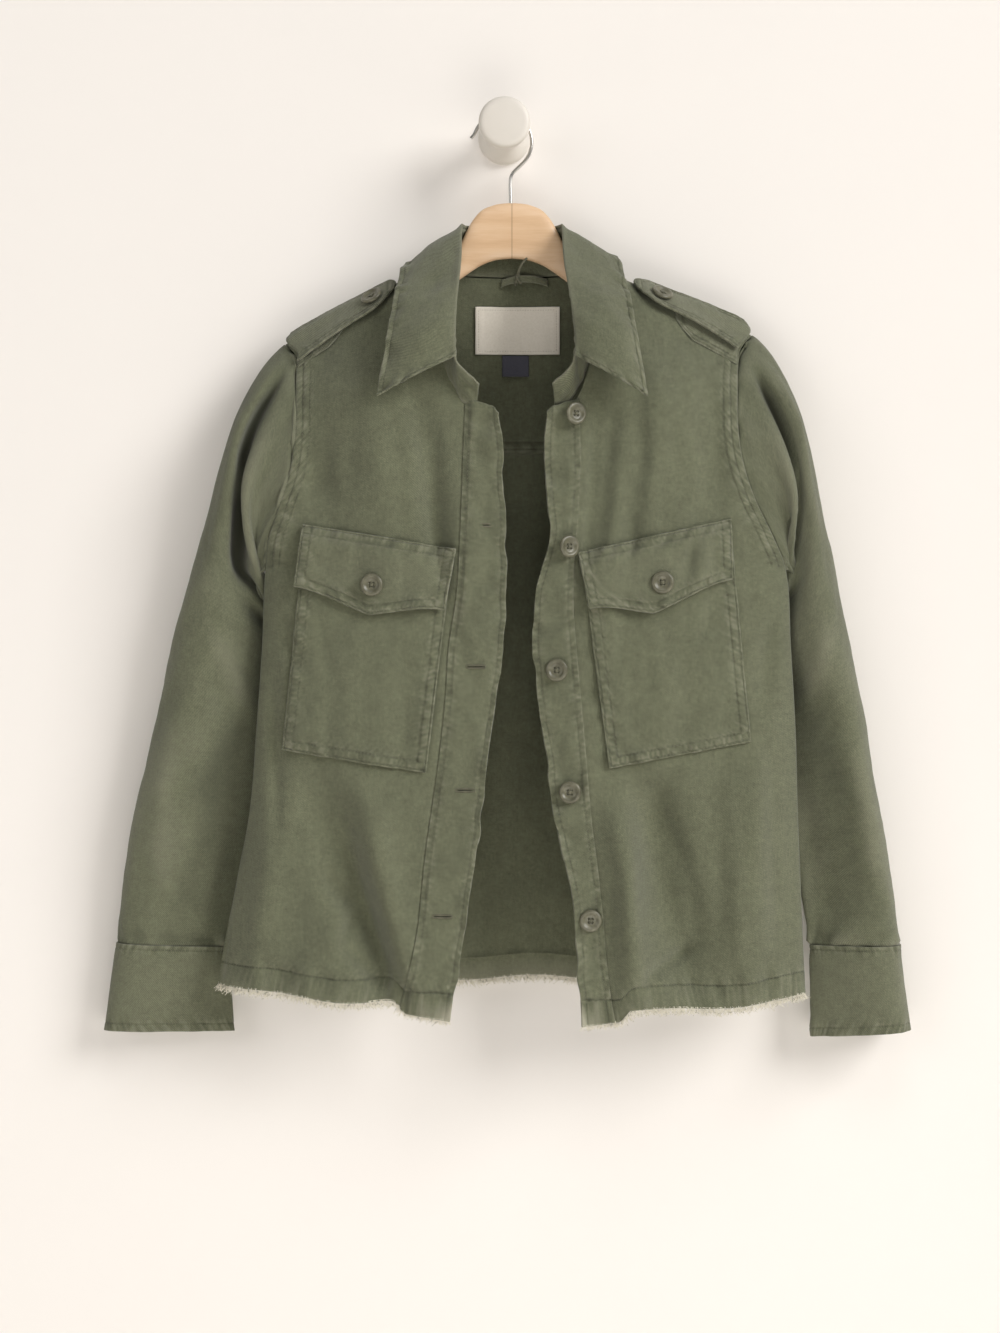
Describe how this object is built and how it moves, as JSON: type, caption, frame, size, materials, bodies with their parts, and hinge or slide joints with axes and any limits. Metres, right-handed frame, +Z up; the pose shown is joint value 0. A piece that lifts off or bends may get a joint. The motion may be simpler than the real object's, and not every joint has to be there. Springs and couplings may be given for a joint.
{
  "type": "military jacket on a hanger",
  "caption": "Olive cotton twill military jacket with shoulder straps, patch pockets and a raw hem, hung open on a wooden hanger from a round wall peg.",
  "frame": {"origin": "middle of the wall peg's flat back, on the wall", "axes": "+X to the wearer's left, +Y into the wall, +Z up; the jacket's front faces -Y"},
  "size_m": [0.695, 0.1236, 0.8022],
  "materials": {
    "olive_twill": "washed cotton twill, matt",
    "button_plastic": "satin resin",
    "label_weave": "woven, matt",
    "dark_weave": "woven, matt",
    "pale_wood": "clear satin lacquer",
    "bright_wire": "polished wire",
    "cream_paint": "satin paint"
  },
  "bodies": {
    "root": {"back": "olive_twill", "yoke": "olive_twill", "front_right": "olive_twill", "placket_right": "olive_twill", "sleeve_right": "olive_twill", "cuff_right": "olive_twill", "pocket_right": "olive_twill", "flap_right": "olive_twill", "strap_right": "olive_twill", "strap_base_right": "olive_twill", "front_left": "olive_twill", "placket_left": "olive_twill", "sleeve_left": "olive_twill", "cuff_left": "olive_twill", "pocket_left": "olive_twill", "flap_left": "olive_twill", "strap_left": "olive_twill", "strap_base_left": "olive_twill", "collar_stand": "olive_twill", "collar": "olive_twill", "hanger_loop": "olive_twill", "button_placket_1": "button_plastic", "button_placket_2": "button_plastic", "button_placket_3": "button_plastic", "button_placket_4": "button_plastic", "button_placket_5": "button_plastic", "button_flap_right": "button_plastic", "button_flap_left": "button_plastic", "button_strap_right": "button_plastic", "button_strap_left": "button_plastic", "label": "label_weave", "size_tab": "dark_weave", "hanger": "pale_wood", "hook": "bright_wire", "peg": "cream_paint"}
  },
  "joints": []
}
